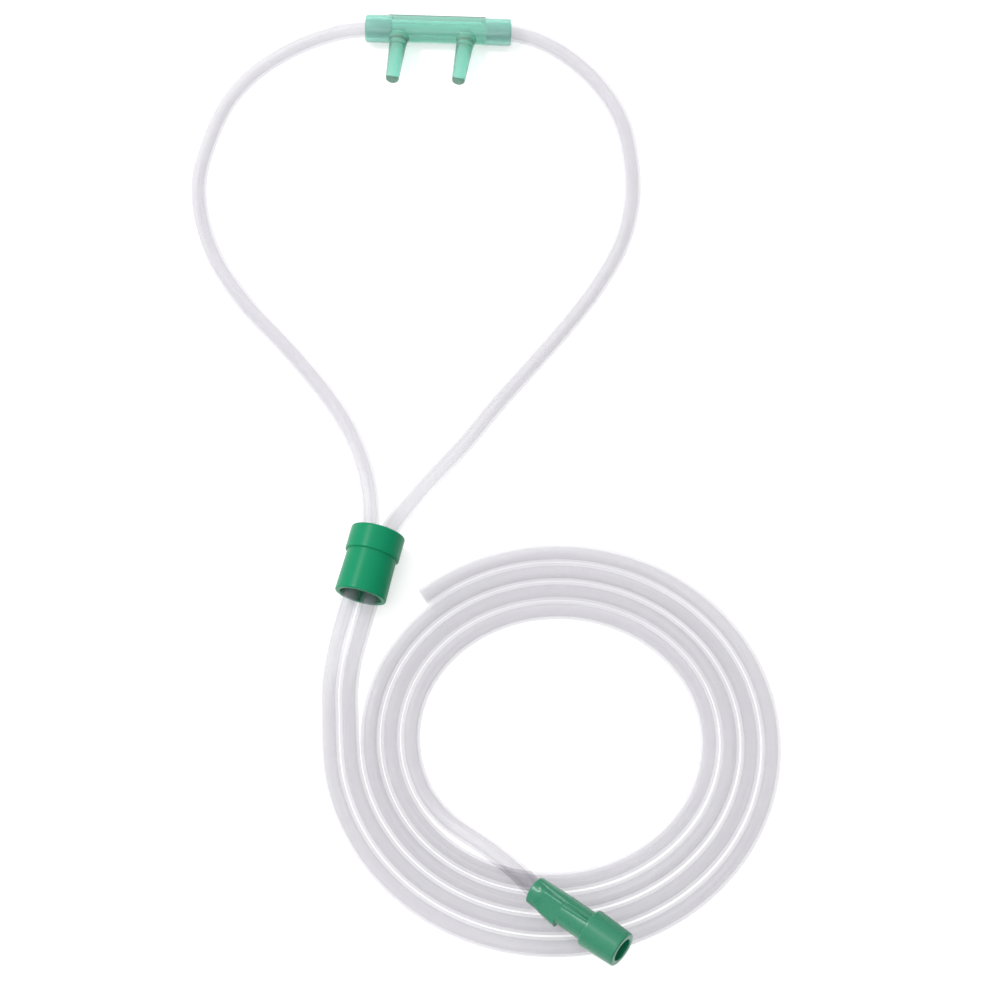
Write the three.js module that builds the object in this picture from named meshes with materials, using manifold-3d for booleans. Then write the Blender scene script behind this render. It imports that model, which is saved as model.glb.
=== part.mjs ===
// A nasal oxygen cannula lying on a level floor: a soft nosepiece with two prongs, two clear tubes that run
// from it through a sliding ring and into a flat coil, and the connector that takes the oxygen.
// Millimetres, +Z up, +Y from the coil towards the nosepiece, the floor at z = 0.
import * as THREE from 'three';
import { mergeVertices } from 'three/addons/utils/BufferGeometryUtils.js';
import Module from 'manifold-3d';

const wasm = await Module();
wasm.setup();

// Clearances between pieces
const GAP = 0.3;
const SLIDE_GAP = 0.35;

// Tube: soft clear PVC, the same on both sides
const TUBE_OD = 5.4;
const TUBE_R = TUBE_OD / 2;
const FLOOR_CLEARANCE = 0.08;
const TUBE_LIE_Z = TUBE_R + FLOOR_CLEARANCE;
const TUBE_SIDES = 12;
const TUBE_STEP = 8;
const TURN_PITCH = 5.68;

// Nosepiece: a hollow bar with a tube socket at each end and two tapered prongs
const NOSE_LEFT = new THREE.Vector2(-36.5, 143.4);
const NOSE_RIGHT = new THREE.Vector2(8.9, 141.9);
const LEFT_SOCKET_WALL = 1.3;
const RIGHT_SOCKET_WALL = 1.15;
const SOCKET_DEPTH = 8;
const SOCKET_LEAD_IN = 1;
const LEFT_SOCKET_LENGTH = 7;
const RIGHT_SOCKET_LENGTH = 8;
const SOCKET_OVERLAP = 1.6;
const BAR_R = 4.0;
const BAR_BACK = 4.35;
const BAR_BACK_LOW = -2.0;
const BAR_BACK_HIGH = 1.7;
const BAR_RIDGE_X = 0.6;
const BAR_ROUND_END_DEG = 306;
const NOSE_CHANNEL_R = 1.8;
const SOCKET_END_ROUND = 0.8;

const PRONG_ROOT_R = 2.95;
const PRONG_TIP_R = 2.05;
const PRONG_BORE_ROOT_R = 1.5;
const PRONG_BORE_TIP_R = 1.0;
const PRONG_LENGTH = 20.7;
const PRONG_BORE_START = 0.1;
const PRONG_TIP_ROUND = 0.7;
const PRONG_RISE_DEG = 11;
const PRONGS = [
  { along: 10.9, leanDeg: 4.3 },
  { along: 31.8, leanDeg: 5.9 },
];

// Slider: a stepped round ring around both tubes
const SLIDER_TOP = new THREE.Vector2(-29.35, -23.3);
const SLIDER_HEADING = new THREE.Vector2(-0.247, -0.969).normalize();
const SLIDER_LENGTH = 19.6;
const COLLAR_R = 7.9;
const COLLAR_LENGTH = 7.2;
const SLIDER_TOP_R = 7.2;
const SLIDER_BOTTOM_R = 7.5;
const SLIDER_RECESS_R = 6.0;
const SLIDER_RECESS_DEPTH = 4.5;
const SLIDER_TOP_FLARE = 0.5;
const SLIDER_FLARE_DEPTH = 2.2;
const SLIDER_EDGE = 0.5;
const PAIR_PITCH = 5.8;
const SLIDER_AXIS_Z = COLLAR_R;

// Connector: a stepped hollow moulding that tilts up over the coil on the end of its tube
const INLET_TURNS_IN = 2.418;
const INLET_DEG = 262.6;
const INLET_Z = 9.7;
const CONNECTOR_HEADING_DEG = -36.6;
const CONNECTOR_RISE_DEG = 14;
const CONNECTOR_LENGTH = 29.6;
const INLET_R = 4.0;
const WAIST_R = 4.2;
const MOUTH_START_R = 5.45;
const MOUTH_END_R = 5.1;
const INLET_LENGTH = 10.2;
const MOUTH_LENGTH = 11;
const COLLAR_CHAMFER = 0.5;
const CONNECTOR_EDGE = 0.5;
const MOUTH_BORE_R = 3.3;
const MOUTH_BORE_DEPTH = 11;
const WAY_R = 1.8;
const WING_REACH = 5.1;
const WING_END_REACH = 4.1;
const WING_THICKNESS = 4.6;
const RIB_WIDTH = 2.6;
const RIB_TIP_WIDTH = 0.9;
const RIB_HEIGHT = 0.5;
const RIB_START = 4.5;
const RIB_FOOT = 1;

// Coil: a flat spiral, slightly oval, four tubes wide, that both tubes share
const COIL_CENTRE = new THREE.Vector2(20.9, -82.5);
const COIL_A = 63.2;
const COIL_B = 58.95;
const COIL_SLACK = 0.055;
const COIL_SLACK_DEG = 300;
const COIL_START_DEG = 180;
const CUT_END_DEG = 490;
const LEAD_START_DEG = 200;
const COIL_TURNS_WIDE = 4;
const COIL_EDGE = 2.2;
const COIL_STEP_DEG = 7.5;
const LEAD_GAP_DEG = 0.95;

const PLASTICS = {
  nosepiece: { color: 0x6fc9ab, roughness: 0.35 },
  tube: { color: 0xdcdbe6, roughness: 0.25 },
  slider: { color: 0x18905a, roughness: 0.3 },
  connector: { color: 0x389670, roughness: 0.35 },
};

// Facets round each kind of round part; a slot's are for each of its two half circles
const SIDES = {
  sleeve: 28, bar: 14, prong: 20, prongBore: 14, way: 16, socket: 24, slider: 40, slot: 12, recess: 32,
  connector: 36, mouth: 28,
};

// How far a cut runs past the face it opens in, and how close two corners are welded into one
const CUT_PAST = 1;
const WELD = 1e-4;

// Where the middle of a rounded edge lies, as a part of the edge's size in from both faces
const ROUND_KNEE = 0.3;

const rad = THREE.MathUtils.degToRad;

function named(name, geometry, plastic) {
  const mesh = new THREE.Mesh(geometry, new THREE.MeshStandardMaterial({ ...plastic, metalness: 0 }));
  mesh.name = name;
  return mesh;
}

// Booleans on closed meshes
function toSolid(geometry) {
  const bare = geometry.index ? geometry.toNonIndexed() : geometry.clone();
  bare.deleteAttribute('normal');
  bare.deleteAttribute('uv');
  const merged = mergeVertices(bare, WELD);
  return new wasm.Manifold(new wasm.Mesh({
    numProp: 3,
    vertProperties: new Float32Array(merged.attributes.position.array),
    triVerts: new Uint32Array(merged.index.array),
  }));
}

function toGeometry(solid) {
  const mesh = solid.getMesh();
  const geometry = new THREE.BufferGeometry();
  geometry.setAttribute('position', new THREE.BufferAttribute(new Float32Array(mesh.vertProperties), 3));
  geometry.setIndex(new THREE.BufferAttribute(new Uint32Array(mesh.triVerts), 1));
  return geometry;
}

// A turned solid about +Z from [radius, height] pairs that start and end on the axis
function turned(profile, sides) {
  const points = profile.map(([r, z]) => new THREE.Vector2(r, z));
  return new THREE.LatheGeometry(points, sides).rotateX(Math.PI / 2);
}

// A frustum about +Z from one height to another
function plug(r0, r1, z0, z1, sides) {
  return turned([[0, z0], [r0, z0], [r1, z1], [0, z1]], sides);
}

// A slot outline: two half circles of radius r, their centres a pitch apart along x
function slotShape(r, pitch) {
  const shape = new THREE.Shape();
  shape.absarc(pitch / 2, 0, r, -Math.PI / 2, Math.PI / 2, false);
  shape.absarc(-pitch / 2, 0, r, Math.PI / 2, Math.PI * 1.5, false);
  return shape;
}

function prism(shape, z0, z1, curveSegments = 1) {
  const geometry = new THREE.ExtrudeGeometry(shape, { depth: z1 - z0, bevelEnabled: false, curveSegments });
  return geometry.translate(0, 0, z0);
}

// A frame whose local +Z is the piece's axis and whose local +Y is the side that looks up
function aim(mesh, origin, axis) {
  const side = new THREE.Vector3(0, 0, 1).cross(axis).normalize();
  const up = axis.clone().cross(side);
  mesh.quaternion.setFromRotationMatrix(new THREE.Matrix4().makeBasis(side, up, axis));
  mesh.position.copy(origin);
}

// Nosepiece, made with its bar along local +Z from the left end, local +Y up. It lies on its left socket.
const noseSpan = NOSE_RIGHT.clone().sub(NOSE_LEFT);
const NOSE_LENGTH = noseSpan.length();
const noseAxis = new THREE.Vector3(noseSpan.x, noseSpan.y, 0).normalize();
const SOCKET_BORE_R = TUBE_R + GAP;
const LEFT_SOCKET_R = SOCKET_BORE_R + LEFT_SOCKET_WALL;
const RIGHT_SOCKET_R = SOCKET_BORE_R + RIGHT_SOCKET_WALL;
const NOSE_AXIS_Z = LEFT_SOCKET_R;

function roundedSleeve(r, z0, z1) {
  const e = SOCKET_END_ROUND;
  const knee = ROUND_KNEE * e;
  return turned([[0, z0], [r - e, z0], [r - knee, z0 + knee], [r, z0 + e],
    [r, z1 - e], [r - knee, z1 - knee], [r - e, z1], [0, z1]], SIDES.sleeve);
}

// The bar's section: round in front and below, with a flat facet from the ridge down to the square back.
// Local +X is the back of the bar, because side = up x axis points away from the prongs.
function barShape() {
  const shape = new THREE.Shape();
  const ridge = Math.acos(BAR_RIDGE_X / BAR_R);
  shape.moveTo(BAR_BACK, BAR_BACK_LOW);
  shape.lineTo(BAR_BACK, BAR_BACK_HIGH);
  shape.lineTo(BAR_RIDGE_X, BAR_R * Math.sin(ridge));
  shape.absarc(0, 0, BAR_R, ridge, rad(BAR_ROUND_END_DEG), false);
  shape.closePath();
  return shape;
}

function nosepiece() {
  const barStart = LEFT_SOCKET_LENGTH;
  const barEnd = NOSE_LENGTH - RIGHT_SOCKET_LENGTH;
  let body = toSolid(prism(barShape(), barStart, barEnd, SIDES.bar));
  body = body.add(toSolid(roundedSleeve(LEFT_SOCKET_R, 0, barStart + SOCKET_OVERLAP)));
  body = body.add(toSolid(roundedSleeve(RIGHT_SOCKET_R, barEnd - SOCKET_OVERLAP, NOSE_LENGTH)));
  let ways = toSolid(plug(NOSE_CHANNEL_R, NOSE_CHANNEL_R, GAP, NOSE_LENGTH - GAP, SIDES.way));
  const left = plug(SOCKET_BORE_R, SOCKET_BORE_R, -CUT_PAST, SOCKET_DEPTH, SIDES.socket);
  const right = plug(SOCKET_BORE_R, SOCKET_BORE_R, NOSE_LENGTH - SOCKET_DEPTH, NOSE_LENGTH + CUT_PAST,
    SIDES.socket);
  ways = ways.add(toSolid(left)).add(toSolid(right));
  for (const { along, leanDeg } of PRONGS) {
    const t = PRONG_TIP_ROUND;
    const knee = ROUND_KNEE * t;
    const L = PRONG_LENGTH;
    const outer = turned([[0, 0], [PRONG_ROOT_R, 0], [PRONG_TIP_R, L - t], [PRONG_TIP_R - knee, L - knee],
      [PRONG_TIP_R - t, L], [0, L]], SIDES.prong);
    const bore = plug(PRONG_BORE_ROOT_R, PRONG_BORE_TIP_R, PRONG_BORE_START, L + CUT_PAST, SIDES.prongBore);
    // the prong leaves the bar towards local -X, leaning back to the left end and rising a little
    const lean = rad(leanDeg) + Math.atan2(noseAxis.y, noseAxis.x);
    const rise = rad(PRONG_RISE_DEG);
    const heading = new THREE.Vector3(-Math.cos(lean) * Math.cos(rise), Math.sin(rise),
      -Math.sin(lean) * Math.cos(rise));
    const turn = new THREE.Matrix4().makeRotationFromQuaternion(
      new THREE.Quaternion().setFromUnitVectors(new THREE.Vector3(0, 0, 1), heading));
    turn.setPosition(0, 0, along);
    body = body.add(toSolid(outer.applyMatrix4(turn)));
    ways = ways.add(toSolid(bore.applyMatrix4(turn)));
  }
  const mesh = named('nosepiece', toGeometry(body.subtract(ways)), PLASTICS.nosepiece);
  aim(mesh, new THREE.Vector3(NOSE_LEFT.x, NOSE_LEFT.y, NOSE_AXIS_Z), noseAxis);
  return mesh;
}

// Slider, made with its axis along local +Z from the top end, local +Y up
const sliderAxis = new THREE.Vector3(SLIDER_HEADING.x, SLIDER_HEADING.y, 0);

function slider() {
  const e = SLIDER_EDGE;
  const L = SLIDER_LENGTH;
  let body = toSolid(turned([[0, 0], [COLLAR_R - e, 0], [COLLAR_R, e], [COLLAR_R, COLLAR_LENGTH - e],
    [COLLAR_R - e, COLLAR_LENGTH], [SLIDER_TOP_R, COLLAR_LENGTH], [SLIDER_BOTTOM_R, L - e],
    [SLIDER_BOTTOM_R - e, L], [0, L]], SIDES.slider));
  const slotR = TUBE_R + SLIDE_GAP;
  const flareR = slotR + SLIDER_TOP_FLARE;
  const passage = prism(slotShape(slotR, PAIR_PITCH), -CUT_PAST, L + CUT_PAST, SIDES.slot);
  const flare = prism(slotShape(flareR, PAIR_PITCH), -CUT_PAST, SLIDER_FLARE_DEPTH, SIDES.slot);
  const recess = plug(SLIDER_RECESS_R, SLIDER_RECESS_R, L - SLIDER_RECESS_DEPTH, L + CUT_PAST, SIDES.recess);
  body = body.subtract(toSolid(passage).add(toSolid(flare)).add(toSolid(recess)));
  const mesh = named('slider', toGeometry(body), PLASTICS.slider);
  aim(mesh, new THREE.Vector3(SLIDER_TOP.x, SLIDER_TOP.y, SLIDER_AXIS_Z), sliderAxis);
  return mesh;
}

// The spiral: the centre of a tube that starts some turns in from the outermost one, at an angle on the
// oval. The turns lie a little looser on the side where the connector rests.
function spiral(turnsIn, degrees) {
  const t = rad(degrees);
  const slack = COIL_SLACK * Math.max(0, Math.cos(t - rad(COIL_SLACK_DEG))) ** 2;
  const inward = TURN_PITCH * (1 + slack) * (turnsIn + (degrees - COIL_START_DEG) / 360);
  return new THREE.Vector2(
    COIL_CENTRE.x + (COIL_A - inward) * Math.cos(t),
    COIL_CENTRE.y + (COIL_B - inward) * Math.sin(t));
}

// Connector, made with its axis along local +Z from the inlet end, local +Y up
const inlet = spiral(INLET_TURNS_IN, INLET_DEG);
const INLET_END = new THREE.Vector3(inlet.x, inlet.y, INLET_Z);
const heading = rad(CONNECTOR_HEADING_DEG);
const rise = rad(CONNECTOR_RISE_DEG);
const connectorAxis = new THREE.Vector3(
  Math.cos(heading) * Math.cos(rise),
  Math.sin(heading) * Math.cos(rise),
  Math.sin(rise));

function connector() {
  const e = CONNECTOR_EDGE;
  const L = CONNECTOR_LENGTH;
  const step = L - MOUTH_LENGTH;
  let body = toSolid(turned([[0, 0], [INLET_R - e, 0], [INLET_R, e], [WAIST_R, INLET_LENGTH],
    [WAIST_R, step], [MOUTH_START_R - COLLAR_CHAMFER, step], [MOUTH_START_R, step + COLLAR_CHAMFER],
    [MOUTH_END_R, L - e], [MOUTH_END_R - e, L], [0, L]], SIDES.connector));
  // the grip wing stands out on one side of the inlet, and grows towards its step
  const wing = new THREE.Shape();
  wing.moveTo(0, e);
  wing.lineTo(WING_END_REACH, e);
  wing.lineTo(WING_REACH, INLET_LENGTH - e);
  wing.lineTo(WING_REACH - e, INLET_LENGTH);
  wing.lineTo(0, INLET_LENGTH);
  wing.closePath();
  const half = WING_THICKNESS / 2;
  const wingSolid = prism(wing, -half, half).rotateX(Math.PI / 2).rotateZ(Math.PI);
  body = body.add(toSolid(wingSolid));
  // the rib along the top narrows from the inlet to the collar
  const rib = new THREE.Shape();
  rib.moveTo(-RIB_WIDTH / 2, RIB_START);
  rib.lineTo(RIB_WIDTH / 2, RIB_START);
  rib.lineTo(RIB_TIP_WIDTH / 2, step + e);
  rib.lineTo(-RIB_TIP_WIDTH / 2, step + e);
  rib.closePath();
  const ribSolid = prism(rib, -WAIST_R - RIB_HEIGHT, -WAIST_R + RIB_FOOT).rotateX(Math.PI / 2);
  body = body.add(toSolid(ribSolid));
  const bores = toSolid(plug(WAY_R, WAY_R, GAP, L - GAP, SIDES.way))
    .add(toSolid(plug(SOCKET_BORE_R, SOCKET_BORE_R, -CUT_PAST, SOCKET_DEPTH, SIDES.socket)))
    .add(toSolid(plug(MOUTH_BORE_R, MOUTH_BORE_R, L - MOUTH_BORE_DEPTH, L + CUT_PAST, SIDES.mouth)));
  const mesh = named('connector', toGeometry(body.subtract(bores)), PLASTICS.connector);
  aim(mesh, INLET_END, connectorAxis);
  return mesh;
}

function spiralRun(turnsIn, from, to) {
  const count = Math.max(1, Math.round(Math.abs(to - from) / COIL_STEP_DEG));
  return Array.from({ length: count + 1 }, (_, i) => spiral(turnsIn, from + ((to - from) * i) / count));
}

// One solid of the coil's outer shape, with a step outside where the first tube is cut off and one inside
// where the last turn climbs out, and with the edges chamfered as far as a tube is round
function coil() {
  const end = COIL_START_DEG + 360;
  const edge = TUBE_R / TURN_PITCH;
  const outline = new THREE.Shape([
    ...spiralRun(-edge, COIL_START_DEG, CUT_END_DEG),
    ...spiralRun(1 - edge, CUT_END_DEG, end),
  ]);
  const inner = COIL_TURNS_WIDE - 1 + edge;
  const hole = new THREE.Path([
    ...spiralRun(inner + 1, COIL_START_DEG, LEAD_START_DEG),
    ...spiralRun(inner, LEAD_START_DEG, end - COIL_STEP_DEG),
  ]);
  outline.holes.push(hole);
  const geometry = new THREE.ExtrudeGeometry(outline, {
    depth: TUBE_OD - 2 * COIL_EDGE,
    bevelEnabled: true,
    bevelThickness: COIL_EDGE,
    bevelSize: COIL_EDGE,
    bevelOffset: -COIL_EDGE,
    bevelSegments: 1,
  });
  geometry.translate(0, 0, COIL_EDGE);
  return named('coil', geometry, PLASTICS.tube);
}

// Tubes: routes through points chosen by hand, straight where they pass through the slider. A point is x, y
// and how far the tube is lifted there from where it lies on the floor.
function alongSlider(side, distance) {
  const across = (side * PAIR_PITCH) / 2;
  return new THREE.Vector3(
    SLIDER_TOP.x + SLIDER_HEADING.x * distance - SLIDER_HEADING.y * across,
    SLIDER_TOP.y + SLIDER_HEADING.y * distance + SLIDER_HEADING.x * across,
    SLIDER_AXIS_Z);
}

function socketPoint(end, inside) {
  const sign = end === NOSE_LEFT ? 1 : -1;
  const reach = sign * inside;
  return new THREE.Vector3(end.x + reach * noseAxis.x, end.y + reach * noseAxis.y, NOSE_AXIS_Z);
}

// Where a tube meets the coil's end face, a clearance short of it
function coilEntry(turnsIn) {
  const place = spiral(turnsIn, COIL_START_DEG);
  return [place.x, place.y + GAP, 0];
}

function lying([x, y, lift]) {
  return new THREE.Vector3(x, y, TUBE_LIE_Z + lift);
}

function tube(name, points) {
  const path = new THREE.CatmullRomCurve3(points.map((p) => (p.isVector3 ? p : lying(p))));
  const section = new THREE.Shape();
  section.absarc(0, 0, TUBE_R, 0, Math.PI * 2, false);
  const geometry = new THREE.ExtrudeGeometry(section, {
    steps: Math.round(path.getLength() / TUBE_STEP),
    curveSegments: TUBE_SIDES,
    extrudePath: path,
    bevelEnabled: false,
  });
  return named(name, geometry, PLASTICS.tube);
}

const SLIDER_POINTS = [-1, 5, 14, SLIDER_LENGTH, 27, 33];

const leftTube = tube('left_tube', [
  socketPoint(NOSE_LEFT, SOCKET_DEPTH - GAP),
  socketPoint(NOSE_LEFT, SOCKET_LEAD_IN),
  [-43.1, 143.1, 0.6],
  [-52.4, 140.5, 0],
  [-61.7, 135.7, 0],
  [-70.8, 128.7, 0],
  [-78.7, 118.5, 0],
  [-83.9, 105.2, 0],
  [-86.6, 91.6, 0],
  [-85.1, 77.9, 0],
  [-79.8, 63.9, 0],
  [-70.5, 50.1, 0],
  [-59.1, 37.5, 0],
  [-48.8, 25.1, 0.1],
  [-40.5, 12.8, 0.9],
  [-35.1, 0.3, 2.6],
  [-32.3, -11.5, 4.4],
  ...SLIDER_POINTS.map((d) => alongSlider(-1, d)),
  [-41.6, -60.2, 3.2],
  [-42.7, -68.4, 0.9],
  [-42.5, -76.0, 0],
  coilEntry(0),
]);

const rightTube = tube('right_tube', [
  socketPoint(NOSE_RIGHT, SOCKET_DEPTH - GAP),
  socketPoint(NOSE_RIGHT, SOCKET_LEAD_IN),
  [16.6, 140.2, 0.5],
  [26.1, 134.7, 0],
  [35.5, 125.0, 0],
  [42.4, 112.7, 0],
  [45.3, 98.5, 0],
  [45.4, 84.7, 0],
  [42.0, 70.4, 0],
  [34.8, 56.6, 0],
  [25.6, 43.7, 0],
  [15.4, 31.2, 0],
  [4.5, 18.0, 0.3],
  [-5.0, 5.2, 1.5],
  [-14.6, -6.6, 3.4],
  [-22.0, -16.4, 4.7],
  ...SLIDER_POINTS.map((d) => alongSlider(1, d)),
  [-36.0, -60.6, 3.2],
  [-37.1, -68.6, 0.9],
  [-36.9, -76.0, 0],
  coilEntry(1),
]);

// The lead climbs out of the coil's inside, over its innermost turn and into the connector. Its points are
// turns in from the outermost turn, degrees on the coil, and lift.
const LEAD_ROUTE = [
  [4, LEAD_START_DEG + LEAD_GAP_DEG, 0],
  [4.005, 208.2, 0.2],
  [4.037, 220.4, 1.5],
  [4.065, 231, 3.3],
  [3.95, 240.1, 4.6],
  [3.63, 248.4, 5.4],
  [3.094, 256.7, 6],
];

const connectorLead = tube('connector_lead', [
  ...LEAD_ROUTE.map(([turnsIn, degrees, lift]) => {
    const place = spiral(turnsIn, degrees);
    return [place.x, place.y, lift];
  }),
  INLET_END.clone().addScaledVector(connectorAxis, SOCKET_LEAD_IN),
  INLET_END.clone().addScaledVector(connectorAxis, SOCKET_DEPTH - GAP),
]);

const cannula = new THREE.Group();
cannula.add(nosepiece(), leftTube, rightTube, slider(), coil(), connectorLead, connector());

export default cannula;
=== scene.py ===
import math

import bpy
import numpy as np
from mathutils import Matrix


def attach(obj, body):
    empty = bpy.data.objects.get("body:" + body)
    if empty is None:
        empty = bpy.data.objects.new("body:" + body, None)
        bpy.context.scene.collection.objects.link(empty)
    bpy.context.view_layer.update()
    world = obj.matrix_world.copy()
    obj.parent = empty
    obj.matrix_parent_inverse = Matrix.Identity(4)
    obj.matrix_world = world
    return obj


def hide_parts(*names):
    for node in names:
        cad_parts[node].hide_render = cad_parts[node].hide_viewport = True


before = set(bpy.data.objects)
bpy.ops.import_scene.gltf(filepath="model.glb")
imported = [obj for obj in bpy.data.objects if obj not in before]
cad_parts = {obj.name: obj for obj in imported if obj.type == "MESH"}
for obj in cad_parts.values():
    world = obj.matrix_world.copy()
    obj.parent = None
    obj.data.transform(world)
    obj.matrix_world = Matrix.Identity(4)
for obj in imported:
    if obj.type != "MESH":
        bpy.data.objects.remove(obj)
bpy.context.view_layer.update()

# Camera. It looks down on the lying cannula from the side of the coil, from far enough away
# that the near end of the coil is only a little larger than the nosepiece.
MM = 0.001
CAMERA_TARGET = np.array([5.4, -11.8, 3.0]) * MM
CAMERA_ELEVATION = math.radians(71)
CAMERA_DISTANCE = 644 * MM

camera_data = bpy.data.cameras.new("camera")
camera_data.lens = 80
camera_data.sensor_width = 36
camera_data.clip_start = 0.01
camera = bpy.data.objects.new("camera", camera_data)
camera.location = CAMERA_TARGET + CAMERA_DISTANCE * np.array(
    [0, -math.cos(CAMERA_ELEVATION), math.sin(CAMERA_ELEVATION)])
camera.rotation_euler = (math.pi / 2 - CAMERA_ELEVATION, 0, 0)
bpy.context.scene.collection.objects.link(camera)
bpy.context.scene.camera = camera

# Tubes. Two lengths of extruded clear vinyl tube, the same on both sides, pushed into the
# nosepiece's sockets and glued. Each runs down its side of the head loop, through the slider
# and into the flat coil; the left one is cut off after one turn, the right one feeds the connector.
TUBE_R = 2.7 * MM
TUBE_BORE_R = 1.8 * MM
TUBE_LIE_Z = TUBE_R + 0.08 * MM
TURN_PITCH = 5.68 * MM
SOCKET_DEPTH = 8 * MM
SOCKET_GAP = 0.3 * MM
SOCKET_LEAD_IN = 1 * MM
TUBE_SIDES = 28
TUBE_END_EASE = 0.25 * MM
SPAN_POINTS = 24

NOSE_LEFT = np.array([-36.5, 143.4]) * MM
NOSE_RIGHT = np.array([8.9, 141.9]) * MM
NOSE_AXIS_Z = 4.3 * MM
nose_span = NOSE_RIGHT - NOSE_LEFT
NOSE_LENGTH = float(np.linalg.norm(nose_span))
nose_axis = np.append(nose_span / NOSE_LENGTH, 0)

SLIDER_TOP = np.array([-29.35, -23.3, 7.9]) * MM
SLIDER_LENGTH = 19.6 * MM
PAIR_PITCH = 5.8 * MM
slider_axis = np.array([-0.247, -0.969, 0.0])
slider_axis /= np.linalg.norm(slider_axis)
slider_across = np.array([-slider_axis[1], slider_axis[0], 0.0])

COIL_CENTRE = np.array([20.9, -82.5]) * MM
COIL_A = 63.2 * MM
COIL_B = 58.95 * MM
COIL_SLACK = 0.055
COIL_SLACK_DEG = 300
COIL_START_DEG = 180
CUT_END_DEG = 490
LEAD_START_DEG = 200
COIL_POINT_DEG = 10

INLET_TURNS_IN = 2.418
INLET_DEG = 262.6
INLET_Z = 9.7 * MM
CONNECTOR_HEADING = math.radians(-36.6)
CONNECTOR_RISE = math.radians(14)
connector_axis = np.array([
    math.cos(CONNECTOR_HEADING) * math.cos(CONNECTOR_RISE),
    math.sin(CONNECTOR_HEADING) * math.cos(CONNECTOR_RISE),
    math.sin(CONNECTOR_RISE)])


def spiral(turns_in, degrees, lift=0.0):
    """The flat spiral: an oval of half axes A and B, both shortened by one pitch for each whole turn
    round and each turn in from the outermost one. The pitch is a little larger on the side where the
    connector rests. Angles in degrees; returns points as rows."""
    turns_in, degrees, lift = np.broadcast_arrays(turns_in, degrees, lift)
    t = np.radians(degrees)
    slack = COIL_SLACK * np.maximum(0, np.cos(t - math.radians(COIL_SLACK_DEG))) ** 2
    inward = TURN_PITCH * (1 + slack) * (turns_in + (degrees - COIL_START_DEG) / 360)
    return np.stack([
        COIL_CENTRE[0] + (COIL_A - inward) * np.cos(t),
        COIL_CENTRE[1] + (COIL_B - inward) * np.sin(t),
        TUBE_LIE_Z + lift * MM], axis=-1)


def lying(points):
    """Route points given as x, y and lift over the floor, in millimetres, as places in metres."""
    return np.array(points) * MM + [0, 0, TUBE_LIE_Z]


def in_socket(end, sign, depths):
    """Points on the nosepiece's axis, at these depths inside one of its ends."""
    start = np.array([end[0], end[1], NOSE_AXIS_Z])
    return start + sign * np.outer(depths, nose_axis)


def along_slider(side):
    """Points on the straight stretch through the slider and below it, on one side of its middle."""
    distances = np.array([-1, 5, 14, SLIDER_LENGTH / MM, 27, 33]) * MM
    return SLIDER_TOP + side * PAIR_PITCH / 2 * slider_across + np.outer(distances, slider_axis)


def smooth_path(points, spacing):
    """A centripetal Catmull-Rom curve through the points, resampled at even spacing. On each span
    the curve is the cubic whose end slopes are the blend of the two chords at that end, with knots
    the square root of the chord apart."""
    p = np.vstack([2 * points[0] - points[1], points, 2 * points[-1] - points[-2]])
    knot = np.sqrt(np.linalg.norm(np.diff(p, axis=0), axis=1))
    p0, p1, p2, p3 = p[:-3], p[1:-2], p[2:-1], p[3:]
    k0, k1, k2 = knot[:-2, None], knot[1:-1, None], knot[2:, None]
    slope1 = ((p1 - p0) / k0 - (p2 - p0) / (k0 + k1) + (p2 - p1) / k1) * k1
    slope2 = ((p2 - p1) / k1 - (p3 - p1) / (k1 + k2) + (p3 - p2) / k2) * k1
    t = np.linspace(0, 1, SPAN_POINTS, endpoint=False)[None, :, None]
    a, b, c, d = (v[:, None, :] for v in (p1, p2, slope1, slope2))
    curve = ((2 * t**3 - 3 * t**2 + 1) * a + (3 * t**2 - 2 * t**3) * b
             + (t**3 - 2 * t**2 + t) * c + (t**3 - t**2) * d)
    dense = np.vstack([curve.reshape(-1, 3), points[-1]])
    run = np.concatenate([[0], np.cumsum(np.linalg.norm(np.diff(dense, axis=0), axis=1))])
    even = np.linspace(0, run[-1], int(run[-1] / spacing) + 1)
    return np.stack([np.interp(even, run, dense[:, i]) for i in range(3)], axis=-1), run[-1]


def mesh_piece(name, grid, u, v, body, piece_material):
    """A mesh from a grid of points that closes on itself both ways, like a torus. u and v are each
    row's and column's pattern coordinates in metres, kept as the UV map."""
    rows, columns = grid.shape[:2]
    index = np.arange(rows * columns).reshape(rows, columns)
    right, below = np.roll(index, -1, axis=1), np.roll(index, -1, axis=0)
    faces = np.stack([index, right, np.roll(right, -1, axis=0), below], axis=-1).reshape(-1, 4)
    mesh = bpy.data.meshes.new(name)
    mesh.vertices.add(rows * columns)
    mesh.vertices.foreach_set("co", grid.reshape(-1))
    mesh.loops.add(faces.size)
    mesh.loops.foreach_set("vertex_index", faces.reshape(-1))
    mesh.polygons.add(len(faces))
    mesh.polygons.foreach_set("loop_start", np.arange(len(faces)) * 4)
    mesh.polygons.foreach_set("use_smooth", np.ones(len(faces), bool))
    mesh.update(calc_edges=True)
    u_end = np.append(u[1:], u[-1])
    v_end = np.append(v[1:], v[-1] + (v[1] - v[0]))
    uu = np.stack([u, u, u_end, u_end], axis=-1)[:, None, :]
    vv = np.stack([v, v_end, v_end, v], axis=-1)[None, :, :]
    uv = np.stack(np.broadcast_arrays(uu, vv), axis=-1)
    mesh.uv_layers.new(name="along").data.foreach_set("uv", uv.reshape(-1))
    mesh.materials.append(piece_material)
    piece = bpy.data.objects.new(name, mesh)
    bpy.context.scene.collection.objects.link(piece)
    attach(piece, body)
    return piece


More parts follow.
